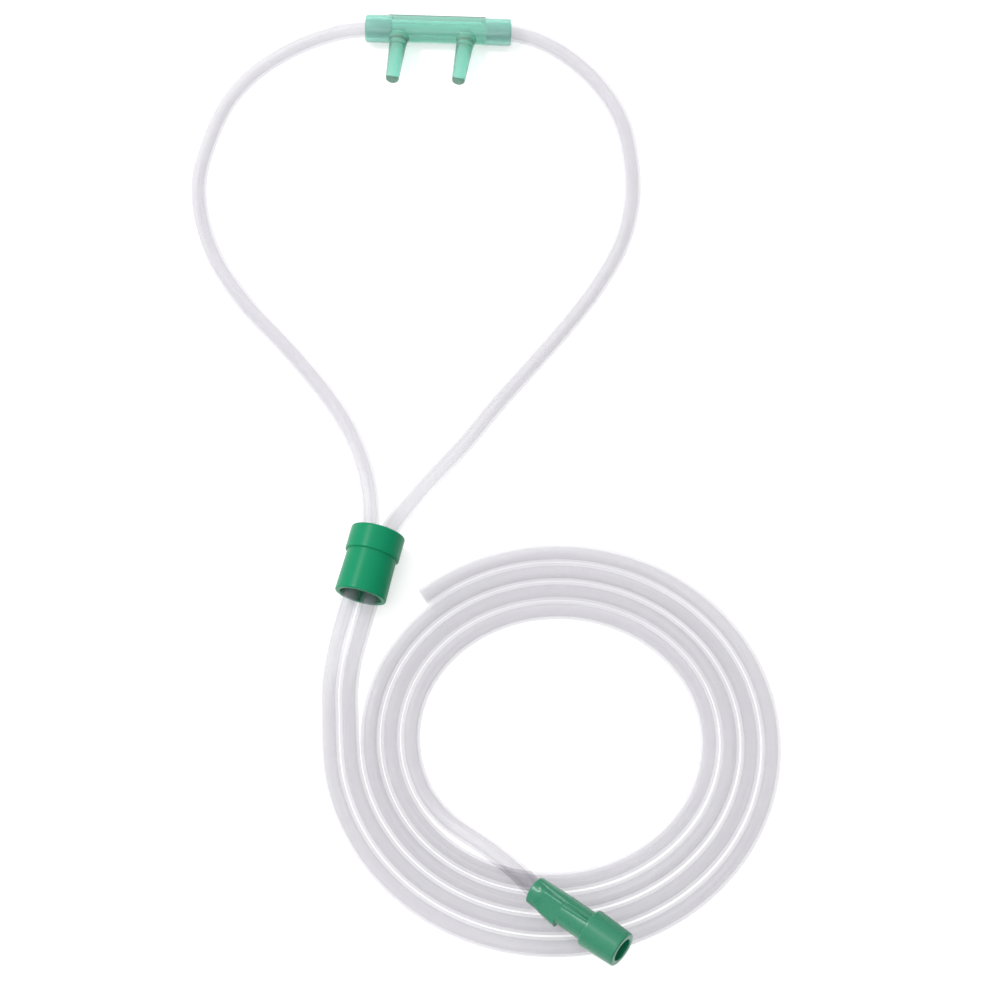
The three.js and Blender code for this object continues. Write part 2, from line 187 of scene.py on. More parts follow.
def hollow_tube(name, path, piece_material):
    """A tube swept along the path: rings of the outer radius from the first point to the last, then
    rings of the bore back again, so that both ends are flat annuli with slightly eased edges."""
    tangent = np.gradient(path, axis=0)
    tangent /= np.linalg.norm(tangent, axis=1, keepdims=True)
    across = np.cross([0, 0, 1], tangent)
    across /= np.linalg.norm(across, axis=1, keepdims=True)
    up = np.cross(tangent, across)
    ease = TUBE_END_EASE
    first, last = path[0], path[-1]
    centres = np.vstack([first, first + tangent[0] * ease, path[1:-1], last - tangent[-1] * ease, last])
    centres = np.vstack([centres, centres[::-1]])
    out_r = np.concatenate([[TUBE_R - ease], np.full(len(path), TUBE_R), [TUBE_R - ease]])
    in_r = np.full(len(out_r), TUBE_BORE_R)
    radii = np.concatenate([out_r, in_r])
    frames = np.concatenate([[0, 0], np.arange(1, len(path) - 1), [len(path) - 1] * 2])
    frames = np.concatenate([frames, frames[::-1]])
    angle = np.linspace(0, 2 * math.pi, TUBE_SIDES, endpoint=False)
    c, s = np.cos(angle)[None, :, None], np.sin(angle)[None, :, None]
    ring = c * across[frames][:, None] + s * up[frames][:, None]
    grid = centres[:, None] + radii[:, None, None] * ring
    step = np.linalg.norm(np.diff(centres, axis=0), axis=1)
    u = np.concatenate([[0], np.cumsum(step)])
    return mesh_piece(name, grid, u, angle * TUBE_R, "tubing", piece_material)


def new_material(name):
    """An empty node material: its tree, its Principled shader and a function that adds a node."""
    made = bpy.data.materials.new(name)
    made.use_nodes = True
    tree = made.node_tree
    shader = tree.nodes["Principled BSDF"]

    def add(kind, **values):
        node = tree.nodes.new(kind)
        for key, value in values.items():
            setattr(node, key, value)
        return node

    return made, tree, shader, add


def clear_vinyl():
    """Soft clear tube vinyl: a thin smoky skin over a wall that takes a little of the light that crosses
    it. Streaks of denser skin run along the tube, as a stretched noise over its UV map."""
    made, tree, shader, add = new_material("clear_vinyl")
    shader.inputs["Base Color"].default_value = (0.34, 0.325, 0.37, 1)
    shader.inputs["Roughness"].default_value = 0.35
    shader.inputs["IOR"].default_value = 1.5
    shader.inputs["Coat Weight"].default_value = 0.12
    shader.inputs["Coat Roughness"].default_value = 0.2
    wall = add("ShaderNodeVolumeAbsorption")
    wall.inputs["Color"].default_value = (0.45, 0.42, 0.52, 1)
    wall.inputs["Density"].default_value = 65
    tree.links.new(wall.outputs["Volume"], tree.nodes["Material Output"].inputs["Volume"])
    place = add("ShaderNodeTexCoord")
    stretch = add("ShaderNodeMapping")
    stretch.inputs["Scale"].default_value = (9, 420, 1)
    lines = add("ShaderNodeTexNoise")
    lines.inputs["Scale"].default_value = 1
    lines.inputs["Detail"].default_value = 3
    skin = add("ShaderNodeMapRange")
    skin.inputs["From Min"].default_value = 0.3
    skin.inputs["From Max"].default_value = 0.7
    skin.inputs["To Min"].default_value = 0.1
    skin.inputs["To Max"].default_value = 0.17
    link = tree.links.new
    link(place.outputs["UV"], stretch.inputs["Vector"])
    link(stretch.outputs["Vector"], lines.inputs["Vector"])
    link(lines.outputs["Fac"], skin.inputs["Value"])
    link(skin.outputs["Result"], shader.inputs["Alpha"])
    return made


tube_material = clear_vinyl()

LEFT_ROUTE = [
    [-43.1, 143.1, 0.6], [-52.4, 140.5, 0], [-61.7, 135.7, 0], [-70.8, 128.7, 0], [-78.7, 118.5, 0],
    [-83.9, 105.2, 0], [-86.6, 91.6, 0], [-85.1, 77.9, 0], [-79.8, 63.9, 0], [-70.5, 50.1, 0],
    [-59.1, 37.5, 0], [-48.8, 25.1, 0.1], [-40.5, 12.8, 0.9], [-35.1, 0.3, 2.6], [-32.3, -11.5, 4.4]]
LEFT_BELOW_SLIDER = [[-41.6, -60.2, 3.2], [-42.7, -68.4, 0.9], [-42.5, -76.0, 0]]
RIGHT_ROUTE = [
    [16.6, 140.2, 0.5], [26.1, 134.7, 0], [35.5, 125.0, 0], [42.4, 112.7, 0], [45.3, 98.5, 0],
    [45.4, 84.7, 0], [42.0, 70.4, 0], [34.8, 56.6, 0], [25.6, 43.7, 0], [15.4, 31.2, 0],
    [4.5, 18.0, 0.3], [-5.0, 5.2, 1.5], [-14.6, -6.6, 3.4], [-22.0, -16.4, 4.7]]
RIGHT_BELOW_SLIDER = [[-36.0, -60.6, 3.2], [-37.1, -68.6, 0.9], [-36.9, -76.0, 0]]
LEAD_ROUTE = np.array([
    [4.005, 208.2, 0.2], [4.037, 220.4, 1.5], [4.065, 231, 3.3], [3.95, 240.1, 4.6],
    [3.63, 248.4, 5.4], [3.094, 256.7, 6]])

PATH_SPACING = 1.2 * MM
socket_depths = np.array([SOCKET_DEPTH - SOCKET_GAP, SOCKET_LEAD_IN])

left_turn = np.append(np.arange(COIL_START_DEG, CUT_END_DEG, COIL_POINT_DEG), CUT_END_DEG)
left_path, left_length = smooth_path(np.vstack([
    in_socket(NOSE_LEFT, 1, socket_depths),
    lying(LEFT_ROUTE),
    along_slider(-1),
    lying(LEFT_BELOW_SLIDER),
    spiral(0, left_turn)]), PATH_SPACING)

right_turns = np.arange(COIL_START_DEG, LEAD_START_DEG + 3 * 360 + 1, COIL_POINT_DEG)
inlet = spiral(INLET_TURNS_IN, INLET_DEG)
inlet_end = np.array([inlet[0], inlet[1], INLET_Z])
right_path, right_length = smooth_path(np.vstack([
    in_socket(NOSE_RIGHT, -1, socket_depths),
    lying(RIGHT_ROUTE),
    along_slider(1),
    lying(RIGHT_BELOW_SLIDER),
    spiral(1, right_turns),
    spiral(LEAD_ROUTE[:, 0], LEAD_ROUTE[:, 1], LEAD_ROUTE[:, 2]),
    inlet_end + np.outer(socket_depths[::-1], connector_axis)]), PATH_SPACING)

left_tube = hollow_tube("left_clear_tube", left_path, tube_material)
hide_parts("left_tube", "coil")
right_tube = hollow_tube("right_clear_tube", right_path, tube_material)
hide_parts("right_tube", "connector_lead", "coil")

# Slider. A stepped ring of glossy dark green plastic around both tubes: a collar at the top, a body that
# widens downwards, a slot for the pair and a round recess in the lower end. A moulding seam runs along
# both sides.
COLLAR_R = 7.88 * MM
COLLAR_LENGTH = 7.2 * MM
SLIDER_TOP_R = 7.2 * MM
SLIDER_BOTTOM_R = 7.48 * MM
SLIDER_SLOT_R = TUBE_R + 0.35 * MM
SLIDER_FLARE = 0.5 * MM
SLIDER_FLARE_DEPTH = 2.2 * MM
SLIDER_RECESS_R = 6.0 * MM
SLIDER_RECESS_DEPTH = 4.5 * MM
SLIDER_SEAM_HEIGHT = 0.07 * MM
SLIDER_SEAM_WIDTH = math.radians(2.2)
SLIDER_SEAMS = np.radians([14, 166])
SLIDER_COLUMNS = 180
MOULDED_STEP = 0.32 * MM
EDGE_ROWS = 6
EDGE_SHARE = 0.45


def piece_axes(axis):
    """A piece's own directions as rows: to the side, to the side that looks up, and along its axis."""
    side = np.cross([0, 0, 1], axis)
    side /= np.linalg.norm(side)
    return np.stack([side, np.cross(axis, side), axis])


def bump(offset, width):
    """A smooth hump of height 1 that falls to nothing at the width either side of the middle."""
    t = np.clip(1 - np.abs(offset) / width, 0, 1)
    return t * t * (3 - 2 * t)


def slot_radius(angle, r, pitch):
    """How far a slot of two half circles of radius r, a pitch apart, reaches in each direction."""
    half_pitch = pitch / 2
    c, s = np.abs(np.cos(angle)), np.abs(np.sin(angle))
    on_flat = r * c <= half_pitch * s
    round_end = half_pitch * c + np.sqrt(np.maximum(r * r - (half_pitch * s) ** 2, 0))
    return np.where(on_flat, r / np.maximum(s, 1e-9), round_end)


def ring_body(sections, columns, spacing):
    """A closed skin through a loop of sections. Each section is (radius in each direction, place on
    the axis, edge size): the corner it makes is rounded over the edge size with a parabola, and the
    flats between the corners get rows at the spacing. Returns rows of (radius, place)."""
    count = len(sections)
    corner = [np.stack(np.broadcast_arrays(radius, np.full(columns, float(place))), axis=-1)
              for radius, place, _ in sections]
    rows = []
    for i in range(count):
        here, before, after = corner[i], corner[i - 1], corner[(i + 1) % count]
        reach = {}
        for key, other in (("in", before), ("out", after)):
            way = other - here
            span = np.linalg.norm(way, axis=-1, keepdims=True)
            reach[key] = way / np.maximum(span, 1e-12) * np.minimum(sections[i][2], span * EDGE_SHARE)
        enter, leave = here + reach["in"], here + reach["out"]
        for t in np.linspace(0, 1, EDGE_ROWS):
            rows.append((1 - t) ** 2 * enter + 2 * t * (1 - t) * here + t * t * leave)
        next_edge = sections[(i + 1) % count][2]
        back = here - after
        span = np.linalg.norm(back, axis=-1, keepdims=True)
        arrive = after + back / np.maximum(span, 1e-12) * np.minimum(next_edge, span * EDGE_SHARE)
        steps = max(2, int(np.max(np.linalg.norm(arrive - leave, axis=-1)) / spacing))
        for t in np.linspace(0, 1, steps + 1)[1:-1]:
            rows.append(leave + t * (arrive - leave))
    return np.array(rows)


def place_rows(rows, angle, origin, axes):
    """Rows of (radius, place along the axis) round the angles, put where the piece lies."""
    local = np.stack([rows[..., 0] * np.cos(angle), rows[..., 0] * np.sin(angle), rows[..., 1]], axis=-1)
    return origin + local @ axes


def moulded_green(name, colour, roughness, gloss_level):
    """Opaque injection-moulded plastic: an even colour, a faint cloud in its gloss and a fine grain."""
    made, tree, shader, add = new_material(name)
    shader.inputs["Base Color"].default_value = (*colour, 1)
    shader.inputs["IOR"].default_value = 1.49
    shader.inputs["Specular IOR Level"].default_value = gloss_level
    shader.inputs["Subsurface Weight"].default_value = 0.12
    shader.inputs["Subsurface Radius"].default_value = (0.4, 1.0, 0.6)
    shader.inputs["Subsurface Scale"].default_value = 0.8 * MM
    place = add("ShaderNodeTexCoord")
    cloud = add("ShaderNodeTexNoise")
    cloud.inputs["Scale"].default_value = 260
    cloud.inputs["Detail"].default_value = 2
    gloss = add("ShaderNodeMapRange")
    gloss.inputs["To Min"].default_value = roughness - 0.05
    gloss.inputs["To Max"].default_value = roughness + 0.07
    grain = add("ShaderNodeTexNoise")
    grain.inputs["Scale"].default_value = 5200
    bump_node = add("ShaderNodeBump")
    bump_node.inputs["Strength"].default_value = 0.06
    bump_node.inputs["Distance"].default_value = 0.0001
    link = tree.links.new
    link(place.outputs["Object"], cloud.inputs["Vector"])
    link(place.outputs["Object"], grain.inputs["Vector"])
    link(cloud.outputs["Fac"], gloss.inputs["Value"])
    link(gloss.outputs["Result"], shader.inputs["Roughness"])
    link(grain.outputs["Fac"], bump_node.inputs["Height"])
    link(bump_node.outputs["Normal"], shader.inputs["Normal"])
    return made


slider_angle = np.linspace(0, 2 * math.pi, SLIDER_COLUMNS, endpoint=False)
slot = slot_radius(slider_angle, SLIDER_SLOT_R, PAIR_PITCH)
flare = slot_radius(slider_angle, SLIDER_SLOT_R + SLIDER_FLARE, PAIR_PITCH)
recess_start = SLIDER_LENGTH - SLIDER_RECESS_DEPTH
slider_rows = ring_body([
    (flare, 0, 0.35 * MM),
    (COLLAR_R, 0, 0.55 * MM),
    (COLLAR_R, COLLAR_LENGTH, 0.45 * MM),
    (SLIDER_TOP_R, COLLAR_LENGTH, 0.2 * MM),
    (SLIDER_BOTTOM_R, SLIDER_LENGTH, 0.45 * MM),
    (SLIDER_RECESS_R, SLIDER_LENGTH, 0.3 * MM),
    (SLIDER_RECESS_R, recess_start, 0.4 * MM),
    (slot, recess_start, 0.2 * MM),
    (slot, SLIDER_FLARE_DEPTH, 0.25 * MM),
    (flare, SLIDER_FLARE_DEPTH - 0.4 * MM, 0.25 * MM)], len(slider_angle), MOULDED_STEP)
outside = slider_rows[..., 0] > SLIDER_RECESS_R + 0.5 * MM
seam_at = np.min(np.abs(slider_angle[:, None] - SLIDER_SEAMS), axis=1)
slider_rows[..., 0] -= outside * SLIDER_SEAM_HEIGHT * bump(seam_at, SLIDER_SEAM_WIDTH)
slider_grid = place_rows(slider_rows, slider_angle, SLIDER_TOP, piece_axes(slider_axis))
slider_material = moulded_green("slider_green", (0.001, 0.19, 0.085), 0.3, 0.14)
run = np.arange(len(slider_rows)) * MOULDED_STEP
slider = mesh_piece("green_slider", slider_grid, run, slider_angle * COLLAR_R, "slider",
                    slider_material)
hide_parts("slider")

# Connector. A hollow moulding of softer green: a round inlet that takes the tube, with a faceted grip wing
# on one side, a waist with a rib along its top and a curved groove beside it, and a wider mouth with a
# deep round bore. A small nub is left where the plastic was let into the mould.
CONNECTOR_LENGTH = 29.6 * MM
INLET_R = 4.0 * MM
WAIST_R = 4.2 * MM
MOUTH_START_R = 5.44 * MM
MOUTH_END_R = 5.0 * MM
INLET_LENGTH = 10.2 * MM
MOUTH_LENGTH = 11 * MM
MOUTH_BORE_R = 3.3 * MM
MOUTH_BORE_DEPTH = 11 * MM
WAY_R = 1.8 * MM
SOCKET_BORE_R = TUBE_R + SOCKET_GAP
WING_START = 2.6 * MM
WING_FULL = 4.4 * MM
WING_REACH = 5.08 * MM
WING_END_REACH = 4.3 * MM
WING_BELLY = 2.3 * MM
WING_STEP = 0.06 * MM
WING_CORNER_POWER = 16.0
WING_ROUND_COLUMNS = 3
RIDGE_X = 0.5 * MM
RIDGE_Y = 4.55 * MM
RIDGE_HALF_WIDTH = 0.9 * MM
WING_EDGE_Y = 1.3 * MM
RIB_WIDTH = 1.7 * MM
RIB_TIP_WIDTH = 0.9 * MM
RIB_HEIGHT = 0.45 * MM
RIB_SLOPE = 0.4 * MM
GROOVE_PLACES = np.array([3.4, 5, 11, 17, 18.6]) * MM
GROOVE_X = np.array([2.2, 1.85, 1.2, 1.4, 1.5]) * MM
GROOVE_WIDTH = 0.55 * MM
GROOVE_DEPTH = 0.4 * MM
GATE_PLACE = 2.4 * MM
GATE_R = 0.75 * MM
GATE_HEIGHT = 0.22 * MM
GATE_ASIDE = 0.6 * MM
CONNECTOR_COLUMNS = 200
CONNECTOR_STEP = CONNECTOR_LENGTH - MOUTH_LENGTH

connector_angle = np.linspace(0, 2 * math.pi, CONNECTOR_COLUMNS, endpoint=False)
ridge_angle = math.atan2(RIDGE_Y, RIDGE_X)


def faceted_radius(angle, round_r, reach):
    """The inlet's section where the grip wing stands out: a circle cut by a flat facet that slopes from a
    ridge on top down to the wing's edge, and filled out below it to the wing's flat belly."""
    edge = np.array([RIDGE_X + reach, RIDGE_Y - WING_EDGE_Y])
    normal = np.array([-edge[1], edge[0]]) / np.linalg.norm(edge)
    away = normal @ [RIDGE_X, RIDGE_Y]
    c, s = np.cos(angle), np.sin(angle)
    facet = away / np.maximum(normal[0] * c + normal[1] * s, 1e-3)
    side = reach / np.maximum(-c, 1e-3)
    belly = WING_BELLY / np.maximum(-s, 1e-3)
    power = WING_CORNER_POWER
    wing = (np.minimum(facet, 1) ** -power + np.minimum(side, 1) ** -power
            + np.minimum(belly, 1) ** -power) ** (-1 / power)
    facet_side = (angle > ridge_angle) & (angle < math.atan2(WING_EDGE_Y, -reach))
    ridge_side = bump((angle - ridge_angle) * round_r, RIDGE_HALF_WIDTH) * (RIDGE_Y - round_r)
    filled = np.maximum(np.where(c < 0, wing, 0), round_r + ridge_side)
    return np.where(facet_side, np.minimum(facet, side), filled)


def rounded(radius, reach):
    """Radii round a section, averaged over this many neighbours, so that its corners are soft."""
    return np.mean([np.roll(radius, k) for k in range(-reach, reach + 1)], axis=0)


wing_start = rounded(faceted_radius(connector_angle, INLET_R, WING_END_REACH), WING_ROUND_COLUMNS)
wing_end = rounded(faceted_radius(connector_angle, WAIST_R, WING_REACH), WING_ROUND_COLUMNS)
connector_rows = ring_body([
    (SOCKET_BORE_R, 0, 0.25 * MM),
    (INLET_R, 0, 0.5 * MM),
    (INLET_R, WING_START, 0.3 * MM),
    (wing_start, WING_FULL, 0.5 * MM),
    (wing_end, INLET_LENGTH, 0.4 * MM),
    (WAIST_R, INLET_LENGTH + WING_STEP, 0.2 * MM),
    (WAIST_R, CONNECTOR_STEP, 0.2 * MM),
    (MOUTH_START_R, CONNECTOR_STEP, 0.6 * MM),
    (MOUTH_END_R, CONNECTOR_LENGTH, 0.6 * MM),
    (MOUTH_BORE_R, CONNECTOR_LENGTH, 0.3 * MM),
    (MOUTH_BORE_R, CONNECTOR_LENGTH - MOUTH_BORE_DEPTH, 0.5 * MM),
    (WAY_R, CONNECTOR_LENGTH - MOUTH_BORE_DEPTH, 0.2 * MM),
    (WAY_R, SOCKET_DEPTH, 0.2 * MM),
    (SOCKET_BORE_R, SOCKET_DEPTH, 0.3 * MM)], len(connector_angle), MOULDED_STEP)
place = connector_rows[..., 1]
outer = connector_rows[..., 0] > INLET_R - 0.3 * MM
ridge_offset = (connector_angle - ridge_angle) * WAIST_R
rib_run = np.clip((place - INLET_LENGTH) / (CONNECTOR_STEP - INLET_LENGTH), 0, 1)
rib_half = (RIB_WIDTH + (RIB_TIP_WIDTH - RIB_WIDTH) * rib_run) / 2
rib_part = (place > INLET_LENGTH + 0.01 * MM) & (place < CONNECTOR_STEP)
rib_shape = bump(np.maximum(np.abs(ridge_offset) - rib_half + RIB_SLOPE, 0), RIB_SLOPE)
connector_rows[..., 0] += outer * rib_part * RIB_HEIGHT * rib_shape
groove_x = np.interp(place, GROOVE_PLACES, GROOVE_X)
groove_angle = math.pi / 2 - groove_x / WAIST_R
groove_end = bump(place - (GROOVE_PLACES[0] + GROOVE_PLACES[-1]) / 2, GROOVE_PLACES[-1] - GROOVE_PLACES[0])
groove = bump((connector_angle - groove_angle) * WAIST_R, GROOVE_WIDTH) * np.minimum(1, 2 * groove_end)
connector_rows[..., 0] -= outer * (place < CONNECTOR_STEP) * GROOVE_DEPTH * groove
gate = bump(np.hypot(ridge_offset + GATE_ASIDE, place - GATE_PLACE), GATE_R)
connector_rows[..., 0] += outer * GATE_HEIGHT * gate
connector_grid = place_rows(connector_rows, connector_angle, inlet_end, piece_axes(connector_axis))
connector_material = moulded_green("connector_green", (0.004, 0.155, 0.078), 0.26, 0.55)
run = np.arange(len(connector_rows)) * MOULDED_STEP
connector = mesh_piece("green_connector", connector_grid, run, connector_angle * WAIST_R, "tubing",
                       connector_material)
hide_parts("connector")

# Nosepiece. Soft translucent green vinyl: a hollow bar with a flat facet along its back, a sleeve at each
# end for a tube, and two tapered prongs that leave it side by side and bend a little downwards.
BAR_R = 4.0 * MM
LEFT_SLEEVE_R = 4.3 * MM
RIGHT_SLEEVE_R = 4.15 * MM
SLEEVE_OVERLAP = 1.6 * MM
SLEEVE_END_ROUND = 0.8 * MM
LEFT_SOCKET_LENGTH = 7 * MM
RIGHT_SOCKET_LENGTH = 8 * MM
BAR_BACK = 4.35 * MM
BAR_BACK_LOW = -2.0 * MM
BAR_BACK_HIGH = 1.7 * MM
BAR_RIDGE_X = 0.6 * MM
BAR_ROUND_END = math.radians(306)
NOSE_CHANNEL_R = 1.8 * MM
PRONG_LENGTH = 20.7 * MM
PRONG_ROOT_R = 2.95 * MM
PRONG_TIP_R = 2.05 * MM
PRONG_BORE_ROOT_R = 1.5 * MM
PRONG_BORE_TIP_R = 1.0 * MM
PRONG_RISE_ROOT = math.radians(16)
PRONG_RISE_TIP = math.radians(6)
PRONGS = [(10.9 * MM, math.radians(4.3)), (31.8 * MM, math.radians(5.9))]
PRONG_FLARE = 0.4 * MM
PRONG_FLARE_FADE = 1.3 * MM
PRONG_TIP_ROUND = 0.8 * MM
PRONG_BORE_START = 0.1 * MM
BAR_EDGE = 0.35 * MM
SLEEVE_COLUMNS = 72
SOCKET_COLUMNS = 64
CHANNEL_COLUMNS = 48
PRONG_COLUMNS = 48
PRONG_BORE_COLUMNS = 32
CREASE = math.radians(38)

nose_origin = np.array([NOSE_LEFT[0], NOSE_LEFT[1], NOSE_AXIS_Z])
nose_frame = piece_axes(nose_axis)


def solid_from_rings(name, rings):
    """A closed solid through rings of points, capped flat at both ends, kept out of the picture."""
    rows, columns = rings.shape[:2]
    index = np.arange(rows * columns).reshape(rows, columns)
    right = np.roll(index, -1, axis=1)
    sides = np.stack([index[:-1], right[:-1], right[1:], index[1:]], axis=-1).reshape(-1, 4)
    faces = sides.tolist() + [index[0][::-1].tolist(), index[-1].tolist()]
    mesh = bpy.data.meshes.new(name)
    mesh.from_pydata(rings.reshape(-1, 3).tolist(), [], faces)
    solid = bpy.data.objects.new(name, mesh)
    bpy.context.scene.collection.objects.link(solid)
    return solid


def turned_rings(profile, columns):
    """Rings round the local axis from (radius, place) pairs, as points where the nosepiece lies."""
    angle = np.linspace(0, 2 * math.pi, columns, endpoint=False)
    r, z = np.array(profile).T[:, :, None]
    local = np.stack(np.broadcast_arrays(r * np.cos(angle), r * np.sin(angle), z), axis=-1)
    return nose_origin + local @ nose_frame


def sleeve(r, start, end):
    """The profile of a sleeve between two places on the axis, with both its ends rounded."""
    e = SLEEVE_END_ROUND
    t = np.linspace(0, math.pi / 2, 6)
    near = [(r - e + e * math.sin(a), start + e - e * math.cos(a)) for a in t]
    far = [(r - e + e * math.cos(a), end - e + e * math.sin(a)) for a in t]
    return near + far


def bar_rings():
    """Rings along the bar: a round front and belly, a ridge, a flat facet and a square back. The corners
    of the section are rounded by averaging it over a short stretch, and it shrinks a little at the ends."""
    ridge = math.acos(BAR_RIDGE_X / BAR_R)
    arc = np.linspace(ridge, BAR_ROUND_END, 60)
    x = np.concatenate([BAR_R * np.cos(arc), [BAR_BACK, BAR_BACK, BAR_R * math.cos(ridge)]])
    y = np.concatenate([BAR_R * np.sin(arc), [BAR_BACK_LOW, BAR_BACK_HIGH, BAR_R * math.sin(ridge)]])
    run = np.concatenate([[0], np.cumsum(np.hypot(np.diff(x), np.diff(y)))])
    even = np.linspace(0, run[-1], 240, endpoint=False)
    outline = np.stack([np.interp(even, run, x), np.interp(even, run, y)], axis=-1)
    reach = int(BAR_EDGE / (even[1] - even[0]))
    outline = np.mean([np.roll(outline, k, axis=0) for k in range(-reach, reach + 1)], axis=0)
    start, end = LEFT_SOCKET_LENGTH, NOSE_LENGTH - RIGHT_SOCKET_LENGTH
    turn = np.linspace(0, math.pi / 2, 6)
    places = np.concatenate([start + BAR_EDGE * (1 - np.cos(turn)), np.arange(start + MM, end - MM, MM),
                             end - BAR_EDGE * (1 - np.cos(turn[::-1]))])
    inset = np.concatenate([BAR_EDGE * (1 - np.sin(turn)), np.zeros(len(places) - 12),
                            BAR_EDGE * (1 - np.sin(turn[::-1]))])
    size = 1 - inset / BAR_R
    section = outline[None] * size[:, None, None]
    along = np.broadcast_to(places[:, None, None], (len(places), len(outline), 1))
    return nose_origin + np.concatenate([section, along], axis=-1) @ nose_frame


def prong_rings(along, lean, root_r, tip_r, start, end, tip_round, columns):
    """Rings along one prong. Its centre bends from the root's rise to the tip's over its length. The outer
    skin, which has a rounded tip, also flares where it meets the bar."""
    s = np.linspace(start, end, 60)
    if tip_round:
        s = np.concatenate([s[:-1], end - tip_round * (1 - np.sin(np.linspace(0, math.pi / 2, 7)))])
        s = np.sort(s)
    share = s / PRONG_LENGTH
    rise = PRONG_RISE_ROOT + (PRONG_RISE_TIP - PRONG_RISE_ROOT) * share
    mean_rise = (PRONG_RISE_ROOT + rise) / 2
    r = root_r + (tip_r - root_r) * np.clip(share, 0, 1)
    if tip_round:
        r = r + PRONG_FLARE * np.minimum(1, np.exp((BAR_R - s) / PRONG_FLARE_FADE))
        near_tip = np.clip((s - (end - tip_round)) / tip_round, 0, 1)
        r = r - tip_round * (1 - np.sqrt(np.maximum(1 - near_tip ** 2, 0)))
    flat = np.array([-math.cos(lean), 0, -math.sin(lean)])
    up = np.array([0, 1.0, 0])
    centre = s[:, None] * (np.cos(mean_rise)[:, None] * flat + np.sin(mean_rise)[:, None] * up)
    centre = centre + [0, 0, along]
    tangent = np.cos(rise)[:, None] * flat + np.sin(rise)[:, None] * up
    side = np.cross(up, flat)
    top = np.cross(tangent, side)
    angle = np.linspace(0, 2 * math.pi, columns, endpoint=False)
    ring = np.cos(angle)[None, :, None] * side + np.sin(angle)[None, :, None] * -top[:, None]
    local = centre[:, None] + r[:, None, None] * ring
    return nose_origin + local @ nose_frame


def evaluated_mesh(solid):
    """The solid's mesh as its modifiers leave it."""
    graph = bpy.context.evaluated_depsgraph_get()
    return bpy.data.meshes.new_from_object(solid.evaluated_get(graph))


def green_vinyl():
    """Translucent tinted vinyl: each wall the light passes through deepens the green."""
    made, tree, shader, add = new_material("green_vinyl")
    shader.inputs["Base Color"].default_value = (0.57, 0.83, 0.78, 1)
    shader.inputs["Roughness"].default_value = 0.12
    shader.inputs["IOR"].default_value = 1.4
    shader.inputs["Transmission Weight"].default_value = 0.85
    shader.inputs["Coat Weight"].default_value = 0.2
    shader.inputs["Coat Roughness"].default_value = 0.2
    wall = add("ShaderNodeVolumeAbsorption")
    wall.inputs["Color"].default_value = (0.08, 0.74, 0.58, 1)
    wall.inputs["Density"].default_value = 270
    tree.links.new(wall.outputs["Volume"], tree.nodes["Material Output"].inputs["Volume"])
    place = add("ShaderNodeTexCoord")
    cloud = add("ShaderNodeTexNoise")
    cloud.inputs["Scale"].default_value = 220
    cloud.inputs["Detail"].default_value = 3
    bump_node = add("ShaderNodeBump")
    bump_node.inputs["Strength"].default_value = 0.05
    bump_node.inputs["Distance"].default_value = 0.0004
    tree.links.new(place.outputs["Object"], cloud.inputs["Vector"])
    tree.links.new(cloud.outputs["Fac"], bump_node.inputs["Height"])
    tree.links.new(bump_node.outputs["Normal"], shader.inputs["Normal"])
    return made


left_sleeve_end = LEFT_SOCKET_LENGTH + SLEEVE_OVERLAP
right_sleeve_start = NOSE_LENGTH - RIGHT_SOCKET_LENGTH - SLEEVE_OVERLAP
left_profile = sleeve(LEFT_SLEEVE_R, 0, left_sleeve_end)
right_profile = sleeve(RIGHT_SLEEVE_R, right_sleeve_start, NOSE_LENGTH)
outer_solids = [
    solid_from_rings("left_sleeve", turned_rings(left_profile, SLEEVE_COLUMNS)),
    solid_from_rings("right_sleeve", turned_rings(right_profile, SLEEVE_COLUMNS)),
    solid_from_rings("bar", bar_rings())]
for along, lean in PRONGS:
    outer_solids.append(solid_from_rings("prong", prong_rings(
        along, lean, PRONG_ROOT_R, PRONG_TIP_R, 0, PRONG_LENGTH, PRONG_TIP_ROUND, PRONG_COLUMNS)))
nose_skin = outer_solids.pop()
ways = [
    solid_from_rings("left_socket", turned_rings(
        [(SOCKET_BORE_R, -MM), (SOCKET_BORE_R, SOCKET_DEPTH)], SOCKET_COLUMNS)),
    solid_from_rings("right_socket", turned_rings(
        [(SOCKET_BORE_R, NOSE_LENGTH - SOCKET_DEPTH), (SOCKET_BORE_R, NOSE_LENGTH + MM)], SOCKET_COLUMNS)),
    solid_from_rings("channel", turned_rings(
        [(NOSE_CHANNEL_R, SOCKET_DEPTH - MM), (NOSE_CHANNEL_R, NOSE_LENGTH - SOCKET_DEPTH + MM)],
        CHANNEL_COLUMNS))]
for along, lean in PRONGS:
    ways.append(solid_from_rings("prong_way", prong_rings(
        along, lean, PRONG_BORE_ROOT_R, PRONG_BORE_TIP_R, PRONG_BORE_START, PRONG_LENGTH + MM, 0,
        PRONG_BORE_COLUMNS)))
for operation, solids in (("UNION", outer_solids), ("DIFFERENCE", ways)):
    for solid in solids:
        step = nose_skin.modifiers.new(operation, "BOOLEAN")
        step.operation = operation
        step.solver = "EXACT"
        step.object = solid

nose_mesh = evaluated_mesh(nose_skin)
bpy.data.objects.remove(nose_skin)
for solid in outer_solids + ways:
    bpy.data.objects.remove(solid)
nose_mesh.name = "green_nosepiece"
nose_mesh.materials.clear()
nose_mesh.materials.append(green_vinyl())
nose_mesh.polygons.foreach_set("use_smooth", np.ones(len(nose_mesh.polygons), bool))
nose_mesh.set_sharp_from_angle(angle=CREASE)
nosepiece = bpy.data.objects.new("green_nosepiece", nose_mesh)
bpy.context.scene.collection.objects.link(nosepiece)
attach(nosepiece, "tubing")
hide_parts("nosepiece")

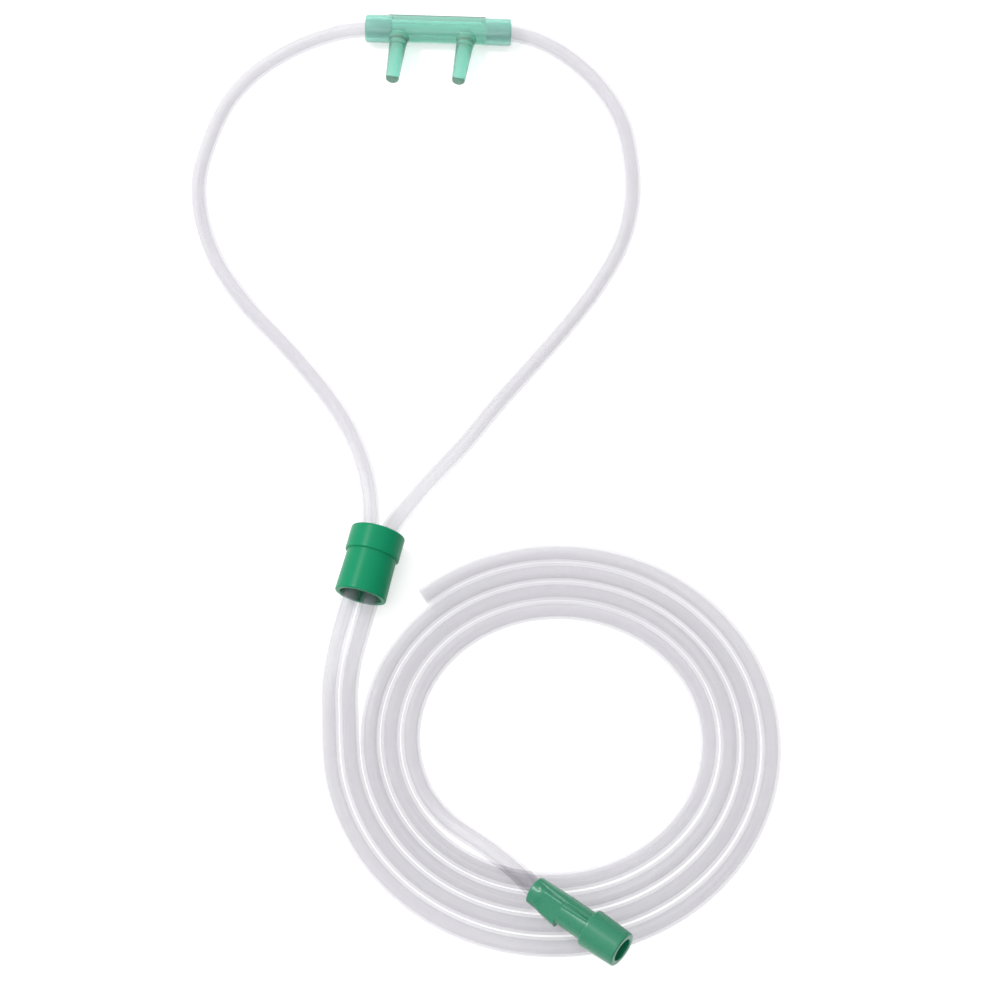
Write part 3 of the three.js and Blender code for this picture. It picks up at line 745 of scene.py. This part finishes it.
# Floor. A white sweep that the cannula lies on. It glows a little, like a light table, so that the
# shadows stay pale and the clear tubes are lit from below too.
FLOOR_SIZE = 3.0
floor_mesh = bpy.data.meshes.new("floor")
half = FLOOR_SIZE / 2
floor_corners = [(-half, -half, 0), (half, -half, 0), (half, half, 0), (-half, half, 0)]
floor_mesh.from_pydata(floor_corners, [], [(0, 1, 2, 3)])
floor = bpy.data.objects.new("floor", floor_mesh)
floor_material, _, floor_shader, _ = new_material("white_sweep")
floor_shader.inputs["Base Color"].default_value = (0.6, 0.6, 0.6, 1)
floor_shader.inputs["Roughness"].default_value = 0.6
floor_shader.inputs["Emission Color"].default_value = (1, 1, 1, 1)
floor_shader.inputs["Emission Strength"].default_value = 0.46
floor_mesh.materials.append(floor_material)
bpy.context.scene.collection.objects.link(floor)

# Lights. One soft key panel from the upper left and a weaker one over the coil, in a white surrounding
# that is brighter on the key side.
world = bpy.data.worlds.new("studio")
bpy.context.scene.world = world
world.use_nodes = True
sky = world.node_tree
sky.nodes["Background"].inputs["Color"].default_value = (1, 1, 1, 1)
sky_place = sky.nodes.new("ShaderNodeTexCoord")
sky_dot = sky.nodes.new("ShaderNodeVectorMath")
sky_dot.operation = "DOT_PRODUCT"
sky_dot.inputs[1].default_value = (-0.62, 0.3, 0.72)
sky_range = sky.nodes.new("ShaderNodeMapRange")
sky_range.inputs["From Min"].default_value = -0.6
sky_range.inputs["From Max"].default_value = 1.0
sky_range.inputs["To Min"].default_value = 0.25
sky_range.inputs["To Max"].default_value = 1.55
sky.links.new(sky_place.outputs["Generated"], sky_dot.inputs[0])
sky.links.new(sky_dot.outputs["Value"], sky_range.inputs["Value"])
sky.links.new(sky_range.outputs["Result"], sky.nodes["Background"].inputs["Strength"])
bpy.context.scene.view_settings.view_transform = "Standard"


def panel(name, place, size, power):
    """A square soft light that faces the middle of the cannula."""
    data = bpy.data.lights.new(name, "AREA")
    data.size = size
    data.energy = power
    lamp = bpy.data.objects.new(name, data)
    lamp.location = place
    away = np.array(place) / np.linalg.norm(place)
    lamp.rotation_euler = (math.acos(away[2]), 0, math.atan2(away[1], away[0]) + math.pi / 2)
    bpy.context.scene.collection.objects.link(lamp)


panel("key", (-0.52, 0.25, 0.8), 0.16, 4.0)
panel("over_coil", (-0.05, -0.25, 0.45), 0.3, 0.35)
